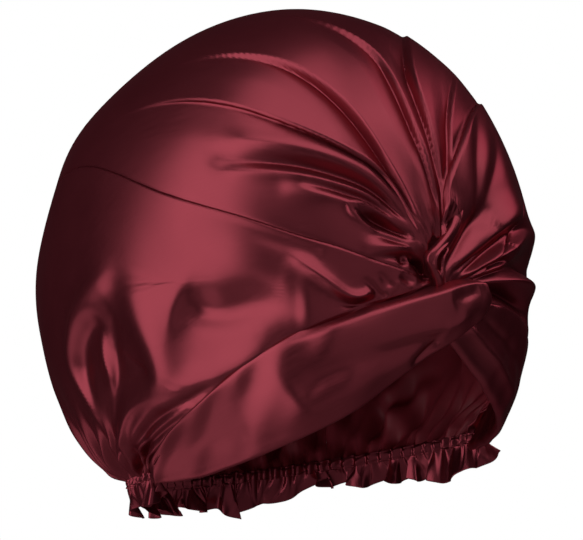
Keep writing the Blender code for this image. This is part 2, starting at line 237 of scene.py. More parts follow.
# The knot's far side, from the far lap down to the left front edge.
FAR_FOLDS = [
    # along, across, height, left, right, and lean where there is any
    [[.13, .830, 0, 4, 4], [.16, .812, -1.6, 4.5, 4.5], [.20, .788, -2, 5, 5], [.27, .776, -1.5, 6, 6],
     [.35, .774, 0, 8, 8]],
    [[.17, .838, 0, 4, 4], [.21, .832, -1.4, 5, 4], [.26, .824, -1.8, 6, 5], [.33, .802, 0, 8, 7]],
    [[.010, .736, 0, 1.2, 1.2], [.035, .758, -2, 1.6, 1.6], [.072, .812, -3.6, 2.2, 2.4],
     [.115, .832, -4.6, 3.2, 3.2], [.155, .844, -4, 4.5, 5], [.20, .848, -2.2, 7, 7], [.30, .856, 0, 9, 9]],
    [[.03, .800, 0, 2, 2], [.08, .862, 1.6, 3, 2.4, 0.4], [.17, .884, 3, 6, 3.6, 0.8],
     [.26, .890, 3.4, 8, 4, 1], [.36, .890, 0, 9, 7]],
    [[.027, .800, 0, 1, 1], [.055, .868, -1.4, 1.1, 1.2], [.12, .897, -2, 1.3, 1.6],
     [.20, .902, -2.4, 1.8, 2], [.30, .903, -1.6, 3, 2.5], [.38, .902, 0, 5, 5]],
    [[.032, .880, 0, 1, 1], [.080, .906, -2, 1.2, 1.6], [.135, .914, -3.4, 1.8, 2.8],
     [.20, .915, -4.4, 2.4, 4], [.28, .912, -5, 3, 6], [.36, .910, -3, 4, 7], [.46, .910, 0, 6, 8]],
    [[.030, .890, 0, 1, 1], [.077, .925, 1.6, 1.2, 1.2, -0.3], [.132, .935, 2.4, 1.5, 1.6, -0.4],
     [.20, .934, 3.2, 2, 2.4], [.28, .928, 3.4, 3, 4], [.36, .916, 3, 5, 5], [.46, .906, 2, 7, 7],
     [.58, .900, 0, 9, 9]],
    [[.035, .910, 0, 1, 1], [.077, .936, -1.6, 1.1, 1.1], [.135, .943, -2.6, 1.4, 1.4],
     [.20, .944, -3.2, 1.8, 1.8], [.29, .948, 0, 3, 3]],
    [[.042, .926, 0, 1.2, 1.2], [.095, .944, 2, 1.4, 1.6], [.155, .950, 2.8, 1.8, 2],
     [.22, .952, 2.4, 2.6, 2.6], [.30, .952, 0, 4, 4]],
    [[.065, .948, 0, 1.2, 1.2], [.115, .958, -2.4, 1.4, 1.6], [.20, .959, -4, 2, 2.4],
     [.29, .956, -7, 3.4, 3.2], [.37, .951, -9, 5, 4], [.45, .946, -8, 6, 5], [.54, .940, -4, 7, 7],
     [.66, .930, 0, 9, 9]],
    [[.08, .972, 0, 1.5, 1.5], [.14, .974, 2.4, 2.4, 2.2], [.22, .975, 4, 3, 2.6], [.32, .973, 5, 4, 3],
     [.42, .968, 4, 4.5, 4.5], [.54, .962, 0, 8, 8]],
    [[.09, .988, 0, 2, 2], [.14, .992, -4, 2.6, 2.6], [.22, .996, -6, 3, 3.5], [.32, .996, -7, 3.5, 4],
     [.42, .992, -6, 4, 5], [.54, .988, 0, 7, 8]],
    # the small eye where the far cloth's edge turns over the strand, and its rim
    [[.060, .708, 0, 1, 1], [.066, .718, -5, 1.4, 1.4], [.072, .734, -6, 1.5, 1.5], [.076, .752, 0, 1, 1]],
    [[.045, .706, 0, 1, 1], [.050, .700, 1, 1, 1], [.066, .703, 1.6, 1, 1.2], [.086, .722, 2, 1.2, 1.2],
     [.098, .756, 1.8, 1.2, 1.2], [.086, .772, 1.4, 1.2, 1.2], [.064, .748, 0, 1, 1]],
]
# Near the ears the spare cloth hangs in long loops before it runs into the gathers.
EAR_FOLDS = [
    # along, across, height, left, right, and lean where there is any
    # the upper loop's crest, the hollow inside it, and a small ridge and a valley under that
    [[.59, .136, 0, 12, 8], [.64, .142, 2.8, 11, 8], [.69, .150, 4.8, 10, 7], [.728, .157, 5, 9, 6],
     [.785, .158, 4.8, 8, 6], [.818, .148, 4.2, 7, 5], [.848, .129, 3.8, 5, 4.5],
     [.883, .112, 3.4, 3.5, 4], [.923, .108, 2.8, 2.6, 3], [.965, .112, 0, 2.4, 3]],
    [[.685, .122, 0, 6, 5], [.712, .134, -2, 7, 5.5], [.748, .144, -2.6, 7, 5], [.780, .146, -3, 7, 5],
     [.812, .141, -3, 6, 4], [.845, .128, -2.8, 5, 3], [.888, .113, -2.4, 4, 2.5], [.95, .113, 0, 2.4, 2]],
    [[.705, .126, 0, 2, 4], [.728, .120, 1.2, 2, 5], [.754, .111, 1.8, 2, 5], [.782, .100, 1.4, 2, 5],
     [.82, .094, 0, 2, 5]],
    [[.66, .112, 0, 6, 8], [.688, .114, -1.2, 6, 6], [.732, .104, -1.6, 6, 3], [.768, .096, -1.4, 8, 2.2],
     [.81, .091, -0.8, 8, 1.8], [.86, .089, -0.4, 5, 1.6], [.93, .095, 0, 3, 1.6]],
    # the lower loop's crest
    [[.56, .128, 0, 14, 10], [.608, .112, 2.6, 14, 11], [.643, .084, 4.6, 14, 12],
     [.672, .060, 5.8, 13, 12], [.705, .045, 6.2, 12, 11], [.74, .043, 5.6, 9, 9], [.776, .050, 4.4, 6, 8],
     [.825, .064, 3.4, 4, 6], [.88, .072, 3, 3.4, 4], [.935, .084, 2, 2.4, 2.4], [.97, .092, 0, 2.4, 2]],
    # crests and valleys by turns that run in from the front edge
    [[.40, -.004, 0, 4, 6], [.514, -.004, 2, 4, 8], [.60, .001, 2.8, 4.5, 8], [.658, .010, 3.2, 5, 8],
     [.743, .022, 3.4, 5, 7], [.793, .035, 3.4, 5, 6], [.848, .046, 3.2, 4, 5], [.905, .056, 2.6, 3, 3.4],
     [.955, .072, 0, 2, 2]],
    [[.646, .000, 0, 2, 2.4], [.70, .006, -1.2, 2.4, 2.6], [.768, .016, -1.6, 2.6, 3],
     [.833, .030, -1.7, 2.4, 3], [.898, .048, -1.4, 2, 2.2], [.948, .070, 0, 1.6, 1.6]],
    [[.72, .004, 0, 2, 3], [.77, .009, 1.6, 2.2, 3.4], [.818, .017, 2.2, 2.4, 3.4],
     [.855, .024, 2.2, 2.2, 3], [.89, .033, 1.8, 1.8, 2.4], [.948, .060, 0, 1.4, 1.4]],
    [[.748, .000, 0, 1.6, 1.6], [.80, .006, -1, 1.8, 2], [.85, .015, -1.3, 1.8, 2],
     [.923, .034, -1, 1.6, 1.6], [.963, .056, 0, 1.4, 1.4]],
    [[.60, -.004, 0, 3, 3.4], [.653, -.004, 1.2, 3, 4], [.731, -.003, 1.8, 3, 4.4], [.80, .002, 2, 3, 4.4],
     [.86, .006, 1.8, 3, 3.6], [.93, .016, 1, 2.4, 2.4], [.97, .030, 0, 2, 2]],
]
# A wide hollow beside the knot on the right, and a shallow one just below the long seam there.
SIDE_HOLLOWS = [
    # along, across, height, left, right, and lean where there is any
    [[.34, .006, 0, 9, 12], [.40, .018, -2.8, 9, 13], [.45, .032, -5.5, 9, 13], [.52, .042, -6.2, 8, 12],
     [.562, .058, -6, 8, 11], [.585, .074, 0, 8, 9]],
    [[.24, .060, 0, 6, 5], [.30, .078, -1.8, 7, 4], [.38, .108, -2, 8, 5], [.46, .140, 0, 9, 8]],
]

# A lap is a fold pressed over its neighbour: first the far one, then the near one. "throw" is how far it
# is carried over, "rise" how proud of the cloth below it stands and "fade" how far back the lift reaches.
LAPS = [
    # along, across, throw, rise, fade
    [[.010, .712, 2.5, 2.5, 6], [.050, .698, 3, 3.5, 8], [.075, .696, 3.4, 4, 12],
     [.115, .712, 3.8, 4.6, 16], [.177, .738, 4, 4.8, 22], [.244, .758, 3.2, 3.6, 26],
     [.319, .772, 1.6, 2, 28], [.440, .782, 0, 0, 28]],
    [[.02, .180, 0, 0.3, 4], [.05, .235, 1, 1.4, 5], [.09, .267, 2.2, 2.6, 8], [.15, .233, 2.8, 3.2, 12],
     [.23, .222, 2.8, 3, 14], [.31, .230, 2.2, 2.2, 16], [.40, .246, 1, 1, 18], [.48, .260, 0, 0, 18]],
]
# A knife pleat runs into a groove on its left and starts again, proud of it and thrown a little over it,
# on the right; the widths say how far each side takes to come back to the plain cloth.
KNIFE_PLEATS = [
    # along, across, depth, left, rise, right, throw
    [[.030, .262, 0, 3, 0.3, 5, 0], [.060, .300, 1.6, 5, 1.6, 8, 0.8], [.100, .308, 2.6, 9, 2.8, 15, 1],
     [.160, .332, 2.8, 11, 3.8, 28, 1.2], [.230, .338, 2.2, 12, 2.6, 34, 0.8],
     [.300, .330, 1, 14, 1.2, 36, 0.4], [.390, .312, 0, 14, 0, 36, 0]],
    [[.035, .650, 0, 3, 0, 3, 0], [.060, .592, 1.2, 5, 1, 4, 0.5], [.100, .540, 2.4, 9, 1.6, 6, 0.8],
     [.150, .531, 2.8, 12, 1.8, 9, 0.8], [.200, .530, 2.2, 13, 1.2, 10, 0.4],
     [.240, .508, 1.2, 14, 0.6, 12, 0], [.300, .460, 0, 14, 0, 16, 0]],
    [[.055, .690, 0, 3, 0, 3, 0], [.087, .640, 1.4, 5, 1.2, 6, 0.5], [.120, .606, 2.2, 8, 2, 10, 0.8],
     [.160, .594, 2.8, 9, 2.6, 14, 1], [.200, .598, 2.8, 9, 2.6, 16, 1],
     [.270, .625, 1.8, 9, 1.8, 18, 0.6], [.360, .655, 0, 12, 0, 18, 0]],
    [[.080, .696, 0, 3, 0, 3, 0], [.130, .702, 1.2, 6, 0.7, 5, 0.3], [.170, .700, 1.8, 10, 1, 7, 0.4],
     [.222, .706, 1.8, 12, 1, 8, 0.4], [.280, .716, 1.2, 12, 0.7, 10, 0.2], [.350, .726, 0, 12, 0, 10, 0]],
]
LINE_STEPS = 36
LINE_END = 0.12     # of a fold's line, where its height rises from nothing
FOLD_REACH = 4.5    # widths from the line, beyond which a fold is too low to see


def line_on_cloth(rows):
    """A fine line through the rows of a fold's table, as points on the bag with the other columns."""
    values = through_rows(rows, np.linspace(0, 1, LINE_STEPS))
    return bag_point(values[:, 1], values[:, 0]), values[:, 2:]


def measure_from(points, outward, line, values):
    """The nearest place on the line for every point: the signed distance from it, positive to the right,
    the line's values there, and the sideways direction."""
    start = line[:-1]
    run = line[1:] - start
    offset = points[:, None, :] - start
    share = np.clip((offset * run).sum(-1) / (run * run).sum(-1), 0.0, 1.0)
    gap = offset - share[..., None] * run
    nearest = (gap * gap).sum(-1).argmin(axis=1)
    pick = np.arange(len(points))
    share = share[pick, nearest][:, None]
    gap = gap[pick, nearest]
    at = values[nearest] * (1 - share) + values[nearest + 1] * share
    side = unit(np.cross(run[nearest], outward))
    sign = np.where((gap * side).sum(-1) < 0, -1.0, 1.0)
    return sign * np.linalg.norm(gap, axis=-1), at, side


def fold_cloth(points, outward, folds, laps=(), knife_pleats=(), line_of=line_on_cloth):
    """Adds up folds, laps and knife pleats as one move of every point. A fold is its height, eased at both
    ends of its line, times e to the minus distance over width, rounded at the crest; narrow folds are
    crisp and wide ones are round. A lap moves the upper cloth over the lower within one roll of its edge,
    and dies away behind it. A knife pleat is two ramps that meet in a step."""
    flat = points.reshape(-1, 3)
    out = outward.reshape(-1, 3)
    move = np.zeros_like(flat)
    for rows in folds:
        line, values = line_of([row + [0.0] * (6 - len(row)) for row in rows])
        fade = ease(np.linspace(0, 1, LINE_STEPS) / LINE_END)
        values[:, 0] *= fade * fade[::-1]
        reach = FOLD_REACH * values[:, 1:3].max()
        near = ((flat > line.min(axis=0) - reach) & (flat < line.max(axis=0) + reach)).all(axis=1)
        away, at, side = measure_from(flat[near], out[near], line, values)
        width = np.where(away < 0, at[:, 1], at[:, 2])
        distance = np.abs(away) / width
        crest = 0.2 + width / 12
        fall = (np.sqrt(distance ** 2 + crest ** 2) - crest) / (np.sqrt(1 + crest ** 2) - crest)
        form = np.exp(-fall)
        move[near] += out[near] * (at[:, 0] * form)[:, None] + side * (at[:, 3] * form)[:, None]
    for rows in laps:
        line, values = line_of(rows)
        away, at, side = measure_from(flat, out, line, values)
        throw, rise, fade = at.T
        roll = 0.5 + 0.28 * rise
        back = np.exp(-np.maximum(away - roll, 0) / fade)
        under = -0.3 * rise * ease((away + 20) / 14) * ease((-0.8 * roll - away) / roll)
        shift = -throw * ease((away + roll) / (1.2 * roll)) * back
        lift = rise * (0.3 * ease((away + roll) / roll) + 0.7 * ease(away / roll)) * back + under
        move += out * lift[:, None] + side * shift[:, None]
    for rows in knife_pleats:
        line, values = line_of(rows)
        away, at, side = measure_from(flat, out, line, values)
        depth, left, rise, right, throw = at.T
        step = 1.0 + 0.4 * rise
        into = -depth * np.clip(1 + away / left, 0, 1) ** 1.4
        above = rise * np.clip(1 - (away - step) / right, 0, 1) ** 1.4
        height = np.where(away < 0, into, -depth + (above + depth) * ease(away / step))
        shift = -throw * ease(away / step + 0.5) * np.exp(-np.maximum(away - step, 0) / right)
        move += out * height[:, None] + side * shift[:, None]
    return move.reshape(points.shape)


# Soft bulges and hollows that set the outline, as directions from the bag's middle.
BULGES = np.array([
    # x,    y,     z,     spread, height
    [0.60, -0.20, 0.78, 0.35, 3.0],
    [0.10, 0.10, 0.99, 0.30, 0.5],
    [-0.50, 0.30, 0.81, 0.35, -2.5],
    [-0.80, 0.40, 0.45, 0.30, 3.0],
    [-0.80, 0.50, -0.15, 0.35, 5.5],
    [-0.70, 0.50, -0.50, 0.25, 6.0],
    [0.80, -0.50, -0.30, 0.26, -6.0],
    [0.60, 0.70, 0.30, 0.50, 3.0],
    [0.00, 0.95, -0.20, 0.50, 3.0],
])
KNOT_RISE = 2.0
GATHERS = 17
GATHER_HEIGHT = 2.4
PLEATS = 46
PLEAT_HEIGHT = 1.2
PLEAT_SWELL = 1.4       # of the pleats near the ears, a little above the elastic
CRUMPLE_HEIGHT = 6.5
DRAPE_HEIGHT = 4.0
STRAND_HEIGHT = 0.10
DRIFT_HEIGHT = 1.2


def bulge_height(points):
    """A sum of bulges: each is its height times e to the minus square of the angle to it over its
    spread."""
    offset = points - BAG_MIDDLE
    direction = unit(offset / bag_radii(offset[..., 2]))
    far = 1 - direction @ unit(BULGES[:, :3]).T
    return (BULGES[:, 4] * np.exp(-far / (0.5 * BULGES[:, 3] ** 2))).sum(axis=-1)


def soft_waves(first, second, seed, pitches, rounds):
    """The mean of so many sines with random directions, pitches and phases, between -1 and 1."""
    chance = np.random.default_rng(seed)
    total = np.zeros(np.broadcast(first, second).shape)
    for _ in range(rounds):
        ways = chance.uniform(*pitches, size=2) * chance.choice([-1, 1], size=2)
        total = total + np.sin(2 * np.pi * (ways[0] * first + ways[1] * second) + chance.uniform(0, 6.28))
    return total / rounds


def pleat_wave(across):
    """The small pleats that the elastic makes in every layer: a sine with a drifting pitch."""
    wobble = soft_waves(across, 0 * across, 4, (1.5, 3.5), 7)
    return np.sin(2 * np.pi * PLEATS * (across + 0.010 * wobble))


def crown_waves(across, along):
    """Broad gathers that grow towards the elastic, fine strands that run into the knot, fainter over its
    middle, and a slow drift all over: each a sine or a sum of sines times smooth ramps."""
    wobble = soft_waves(across, along, 4, (1.5, 3.5), 7)
    gather = GATHER_HEIGHT * np.sin(2 * np.pi * GATHERS * (across + 0.012 * wobble))
    gather = gather * ease((along - 0.74) / 0.26) ** 2
    strands = STRAND_HEIGHT * soft_waves(14 * across, along, 9, (0.7, 1.6), 6) * ease((0.40 - along) / 0.35)
    strands = strands * (1 - 0.8 * ease((across - 0.30) / 0.1) * ease((0.72 - across) / 0.04))
    return gather + strands + DRIFT_HEIGHT * soft_waves(across * 4, along * 4, 12, (0.4, 1.1), 8)


def nape_waves(across, along):
    """What the elastic does to the cloth above it: small pleats that rise at the very end, with a swell
    before it near the ears, and round the nape soft crumples and long drapes that fade upwards."""
    nape = ease((across - 0.22) / 0.08) * ease((0.88 - across) / 0.06)
    warp = 0.007 * soft_waves(across * 9, along * 9, 14, (0.5, 1.4), 6) * ease((1 - along) / 0.04)
    end = PLEAT_HEIGHT * ease((along - 0.90 - 0.05 * nape) / (0.10 - 0.05 * nape))
    swell = PLEAT_SWELL * ease((along - 0.86) / 0.08) * ease((1 - along) / 0.05) * (1 - 0.8 * nape)
    pleats = pleat_wave(across + warp) * (end + swell) - PLEAT_HEIGHT * ease((along - 0.94) / 0.06)
    crumple = soft_waves(across * 16 + warp * 30, along * 13 + warp * 40, 51, (0.6, 1.5), 7)
    crumple = CRUMPLE_HEIGHT * crumple * nape * ease((along - 0.84) / 0.08) * ease((1 - along) / 0.025)
    drape = DRAPE_HEIGHT * soft_waves(across * 9, along * 2, 61, (0.5, 1.4), 6)
    drape = drape * nape * ease((along - 0.50) / 0.30) * ease((1 - along) / 0.10)
    return pleats + crumple + drape


def crown_surface(across, along):
    """The crown's outer face: the bag, with its bulges, waves and the rise of the knot added outwards and
    its folds added as they lie. All but the waves of the nape die out at the elastic."""
    points = bag_point(across, along)
    outward = bag_outward(points)
    # the loops at the left ear are those at the right one with left and right changed over
    mirrored = [[[row[0], 1 - row[1], row[2], row[4], row[3]] for row in rows] for rows in EAR_FOLDS]
    folds = NEAR_FOLDS + FAR_FOLDS + EAR_FOLDS + SIDE_HOLLOWS + mirrored
    move = fold_cloth(points, outward, folds, LAPS, KNIFE_PLEATS)
    knot = ease((0.06 - along) / 0.05) * ease((across - 0.10) / 0.04) * (1 - ease((across - 0.66) / 0.04))
    height = crown_waves(across, along) + bulge_height(points) + KNOT_RISE * knot
    calm = ease((1 - along) / 0.03)
    return points + outward * (height * calm + nape_waves(across, along))[..., None] + move * calm[..., None]


def add_node(owner, kind, settings=(), links=()):
    """Adds a node of this kind. Settings are socket or property names with values, links are the names
    of its inputs with the outputs that feed them."""
    node = owner.node_tree.nodes.new(kind)
    for name, value in dict(settings).items():
        if isinstance(name, int) or name in node.inputs:
            node.inputs[name].default_value = value
        else:
            setattr(node, name, value)
    for name, source in dict(links).items():
        owner.node_tree.links.new(source, node.inputs[name])
    return node


def cleared(owner):
    """The material or world, with an empty node tree."""
    owner.use_nodes = True
    owner.node_tree.nodes.clear()
    return owner


def linear(code):
    """An sRGB hex colour as linear red, green, blue and alpha."""
    parts = np.array([int(code[place:place + 2], 16) for place in (0, 2, 4)]) / 255
    parts = np.where(parts <= 0.04045, parts / 12.92, ((parts + 0.055) / 1.055) ** 2.4)
    return (*parts.tolist(), 1.0)


# Dyed satin, woven with long floats that all run one way: light that enters the floats comes back tinted
# with the dye, so its gloss is red and not white, and it stretches across the threads.
DYE = "983E49"
DYE_DEEP = "8A3641"
FLOAT_WIDTH = 0.45      # real floats are 0.1 mm wide; drawn coarser so that they show
COLOUR_A, COLOUR_B, COLOUR_RESULT = 6, 7, 2     # the colour sockets of a Mix node


def dyed_satin(name, dye, dye_deep):
    """Satin whose floats run along v of the piece's own "weave" map, which is in millimetres. A fine
    noise drawn out along them gives streaks, sheen and ribs, and a soft one of 45 mm clouds the dye."""
    material = cleared(bpy.data.materials.new(name))
    weave = add_node(material, "ShaderNodeUVMap", {"uv_map": "weave"})
    floats = add_node(material, "ShaderNodeMapping", {"Scale": (1 / FLOAT_WIDTH, 0.05, 1.0)},
                      {"Vector": weave.outputs["UV"]})
    streak = add_node(material, "ShaderNodeTexNoise", {"Scale": 1.0, "Detail": 2.0, "Roughness": 0.6},
                      {"Vector": floats.outputs["Vector"]})
    place = add_node(material, "ShaderNodeTexCoord")
    cloudy = add_node(material, "ShaderNodeTexNoise", {"Scale": 22.0, "Detail": 3.0, "Roughness": 0.5},
                      {"Vector": place.outputs["Object"]})
    shade = add_node(material, "ShaderNodeMath", {"operation": "MULTIPLY_ADD", 1: 0.5},
                     {0: streak.outputs["Fac"], 2: cloudy.outputs["Fac"]})
    tone = add_node(material, "ShaderNodeMapRange",
                    {"From Min": 0.45, "From Max": 1.05, "To Min": 0.0, "To Max": 1.0},
                    {"Value": shade.outputs["Value"]})
    dyed = add_node(material, "ShaderNodeMix",
                    {"data_type": "RGBA", COLOUR_A: linear(dye_deep), COLOUR_B: linear(dye)},
                    {0: tone.outputs["Result"]})
    gloss = add_node(material, "ShaderNodeMapRange",
                     {"From Min": 0.3, "From Max": 0.7, "To Min": 0.28, "To Max": 0.35},
                     {"Value": streak.outputs["Fac"]})
    ribs = add_node(material, "ShaderNodeBump", {"Strength": 0.20, "Distance": 0.0001},
                    {"Height": streak.outputs["Fac"]})
    thread = add_node(material, "ShaderNodeTangent", {"direction_type": "UV_MAP", "uv_map": "weave"})
    shader = add_node(material, "ShaderNodeBsdfPrincipled",
                      {"Metallic": 0.88, "Anisotropic": 0.35, "IOR": 1.5,
                       "Specular Tint": linear("CFA3A8")},
                      {"Base Color": dyed.outputs[COLOUR_RESULT], "Roughness": gloss.outputs["Result"],
                       "Normal": ribs.outputs["Normal"], "Tangent": thread.outputs["Tangent"]})
    add_node(material, "ShaderNodeOutputMaterial", {}, {"Surface": shader.outputs["BSDF"]})
    return material


def satin_back(name, dye, dye_deep):
    """The dull back of the satin, where the short crossings show: rough, with little gloss, and clouded
    by a noise of 17 mm."""
    material = cleared(bpy.data.materials.new(name))
    place = add_node(material, "ShaderNodeTexCoord")
    cloudy = add_node(material, "ShaderNodeTexNoise", {"Scale": 60.0, "Detail": 3.0, "Roughness": 0.6},
                      {"Vector": place.outputs["Object"]})
    dyed = add_node(material, "ShaderNodeMix",
                    {"data_type": "RGBA", COLOUR_A: linear(dye_deep), COLOUR_B: linear(dye)},
                    {0: cloudy.outputs["Fac"]})
    shader = add_node(material, "ShaderNodeBsdfPrincipled",
                      {"Metallic": 0.0, "Roughness": 0.5, "IOR": 1.5, "Specular IOR Level": 0.3},
                      {"Base Color": dyed.outputs[COLOUR_RESULT]})
    add_node(material, "ShaderNodeOutputMaterial", {}, {"Surface": shader.outputs["BSDF"]})
    return material


def cloth_piece(name, points, weave, material, wall=CLOTH, closed=False, back=None):
    """A grid of points, row by row, as a mesh with its weave map. Closed joins the last column to the
    first and shuts both ends, each column with the one opposite. The wall grows inwards; back is the
    material of its inner face."""
    rows, columns = points.shape[:2]
    index = np.arange(rows * columns).reshape(rows, columns)
    right = np.roll(index, -1, axis=1) if closed else index[:, 1:]
    left = index if closed else index[:, :-1]
    faces = np.stack([left[:-1], right[:-1], right[1:], left[1:]], axis=-1).reshape(-1, 4)
    if closed:
        one = np.arange(columns // 2 - 1)
        other = columns - 1 - one
        first_end = np.stack([one + 1, one, other, other - 1], axis=-1)
        last_end = np.stack([one, one + 1, other - 1, other], axis=-1)
        faces = np.concatenate([faces, index[0][first_end], index[-1][last_end]])
    mesh = bpy.data.meshes.new(name)
    mesh.vertices.add(rows * columns)
    mesh.vertices.foreach_set("co", (points * MM).ravel())
    mesh.loops.add(faces.size)
    mesh.loops.foreach_set("vertex_index", faces.ravel())
    mesh.polygons.add(len(faces))
    mesh.polygons.foreach_set("loop_start", np.arange(len(faces)) * 4)
    mesh.update(calc_edges=True)
    mesh.validate()
    mesh.uv_layers.new(name="weave")
    order = np.empty(len(mesh.loops), dtype=int)
    mesh.loops.foreach_get("vertex_index", order)
    mesh.uv_layers["weave"].data.foreach_set("uv", weave.reshape(-1, 2)[order].ravel())
    mesh.polygons.foreach_set("use_smooth", np.ones(len(faces), dtype=bool))
    mesh.materials.append(material)
    piece = bpy.data.objects.new(name, mesh)
    bpy.context.scene.collection.objects.link(piece)
    if wall:
        thicken = piece.modifiers.new("wall", "SOLIDIFY")
        thicken.thickness = wall * MM
        thicken.offset = -1.0
        thicken.use_even_offset = False
        if back:
            mesh.materials.append(back)
            thicken.material_offset = 1
    return piece


CROWN_START = 0.006
SEAM_ROLL = 0.4
SEAM_ROLL_WIDTH = 0.9
PUCKER_PITCH = 5.0
BRIM_ALLOWANCE = 0.012      # of the cloth across, hidden between the layers of a brim
BRIM_PRESS = 1.2
CROWN_FLAT_ACROSS = 560.0
CROWN_FLAT_ALONG = 430.0


def seam_line(along):
    """Across of the right long seam."""
    return curve_through(along, LONG_SEAM[:, 0], LONG_SEAM[:, 1])


def edge_line(along):
    """Across of the right front edge."""
    return curve_through(along, FRONT_EDGE[:, 0], FRONT_EDGE[:, 1])


def crown_panel(name, low, high, columns, rows, seams):
    """A panel between two lines of the crown, in rows that lie closer near the knot and the elastic. Its
    cloth turns in at a seam, with a pucker at every few stitches, by e to the minus squared distance from
    the seam, and it is pressed in where it lies under a brim."""
    first, second = np.meshgrid(np.linspace(0, 1, columns), 1 - (1 - np.linspace(0, 1, rows) ** 1.25) ** 1.2)
    along = CROWN_START + (1 - CROWN_START) * second
    low_line = low(along)
    high_line = high(along)
    across = low_line + (high_line - low_line) * first
    points = crown_surface(across, along)
    outward = bag_outward(points)
    for edge in seams:
        gap = np.linalg.norm(points - points[:, edge][:, None], axis=-1)
        stitch = 1 + 0.35 * np.sin(2 * np.pi * along * CROWN_FLAT_ALONG / PUCKER_PITCH)
        depth = SEAM_ROLL * stitch * np.exp(-(gap / SEAM_ROLL_WIDTH) ** 2)
        points = points - outward * depth[..., None]
    weave = np.stack([across * CROWN_FLAT_ACROSS, along * CROWN_FLAT_ALONG], axis=-1)
    hidden = (edge_line(along) - np.minimum(across, 1 - across)) / BRIM_ALLOWANCE
    points = points - outward * (BRIM_PRESS * ease(1.5 * hidden))[..., None]
    return cloth_piece(name, points, weave, crown_satin, back=crown_back_with_painted_light)


crown_satin = dyed_satin("dyed satin, crown", DYE, DYE_DEEP)
# the inner face has the dull back's own red, lightened about twice over as painted light that stands in for
# the light reaching the inside of the crown
crown_back_with_painted_light = satin_back("dyed satin, dull back, lightened as painted light", "B03A48", "8C2E3A")
crown_centre = crown_panel("crown_centre_cloth", seam_line, lambda t: 1 - seam_line(t),
                           columns=350, rows=134, seams=(0, -1))
crown_right = crown_panel("crown_side_right_cloth", lambda t: edge_line(t) - BRIM_ALLOWANCE, seam_line,
                          columns=180, rows=190, seams=(-1,))
crown_left = crown_panel("crown_side_left_cloth", lambda t: 1 - seam_line(t),
                         lambda t: 1 - edge_line(t) + BRIM_ALLOWANCE, columns=180, rows=190, seams=(0,))
for piece, node, flat in ((crown_centre, "crown_centre_panel", (0.30, 0.32)),
                          (crown_right, "crown_side_right", (0.10, 0.24)),
                          (crown_left, "crown_side_left", (0.10, 0.24))):
    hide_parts(node)
    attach(piece, "root")

# CASING. A strip of the same satin, sewn into a tunnel round a flat elastic and ruched by it.
# Two rows of stitching hold the tunnel shut.
CASING_HEIGHT = 5.5
CASING_WALL = 1.8
CASING_INSET = 1.4      # of its middle, inside the line of the elastic
CASING_WEAVE = 3.2, 520.0   # mm of the weave map for a radian round the tunnel and for one of across
FAR_END = 1.05          # of across, a little past the left ear


def level_outward(line):
    """Straight out of the elastic, level with the ground."""
    return unit(bag_outward(line) * np.array([1.0, 1.0, 0.0]))


# the tunnel's section is a tall rounded form, drawn in at the stitching and ruched by the pleats
turn, across = np.meshgrid(np.linspace(0, 1, 28, endpoint=False), np.linspace(0, FAR_END, 1000))
turn = 2 * np.pi * turn
line = elastic_line(across)
upright = np.sign(np.cos(turn)) * np.abs(np.cos(turn)) ** 0.6
outwards = np.sin(turn)
stitched = np.exp(-((np.abs(upright) - 0.72) / 0.10) ** 2)
crumple = 0.8 * soft_waves(across * 30, upright * 1.2, 17, (0.5, 1.5), 6)
swell = CASING_WALL / 2 * outwards * (1 - 0.45 * stitched) + 1.2 * pleat_wave(across) + crumple
points = line + level_outward(line) * (swell - CASING_INSET)[..., None]
rise = CASING_HEIGHT / 2 * upright * (1 + 0.25 * soft_waves(across * 30, 0 * across, 18, (0.5, 1.5), 5))
points = points + rise[..., None] * np.array([0.0, 0.0, 1.0])
weave = np.stack([turn, across], axis=-1) * CASING_WEAVE
casing_satin = dyed_satin("dyed satin, ruched casing", "8E3944", "7A2F39")
casing = cloth_piece("elastic_casing_cloth", points, weave, casing_satin, wall=0, closed=True)
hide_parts("nape_casing")
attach(casing, "root")

# FRILL. A narrow strip of the same satin with an uneven hem, gathered to about half its length into the
# casing's lower edge. Narrow creases run down from the gathers, lean and die out, and the hem swings in
# and out in uneven flutes that fold over one another.
FRILL_HEIGHT = 13.0
FRILL_INSET = 1.8
FLUTES = 12
FLUTE_DEPTH = 4.2
CREASES = 84
ELASTIC_LENGTH = 285.0      # round the nape from ear to ear
FRILL_WEAVE = 700.0, 20.0   # mm of the weave map for one of across and for the frill's depth
# How much longer than its even height the frill is cut, by place.
FRILL_CUT = np.array([
    # across, longer
    [0.00, 0.0],
    [0.48, 0.0],
    [0.56, 3.0],
    [0.62, -1.5],
    [0.69, -4.5],
    [0.76, -3.0],
    [0.84, 0.0],
    [1.06, 0.0],
])

down, across = np.meshgrid(np.linspace(0, 1, 24), np.linspace(0, FAR_END, 1640))
line = elastic_line(across)
out = level_outward(line)
sideways = unit(np.gradient(line, axis=0))
# flutes: a sine with a drifting pitch that leans and deepens downwards, and slides sideways so that its
# sides steepen or fold over
lean = soft_waves(across * 5, 0 * across, 22, (0.6, 1.8), 5)
drift = 0.60 * np.sin(2 * np.pi * 2.3 * across + 1.0) + 0.30 * np.sin(2 * np.pi * 5.9 * across)
phase = 2 * np.pi * (FLUTES * across + drift) + 2.2 * lean * down
uneven = 1 + 0.8 * soft_waves(across * 9, 0 * across, 21, (0.6, 2.2), 5)
flute = FLUTE_DEPTH * down ** 1.2 * uneven * (np.sin(phase) + 0.25 * np.sin(3 * phase + 1.0 + 3 * lean))
slide = -2.4 * down * uneven * np.sin(2 * phase + 0.4)
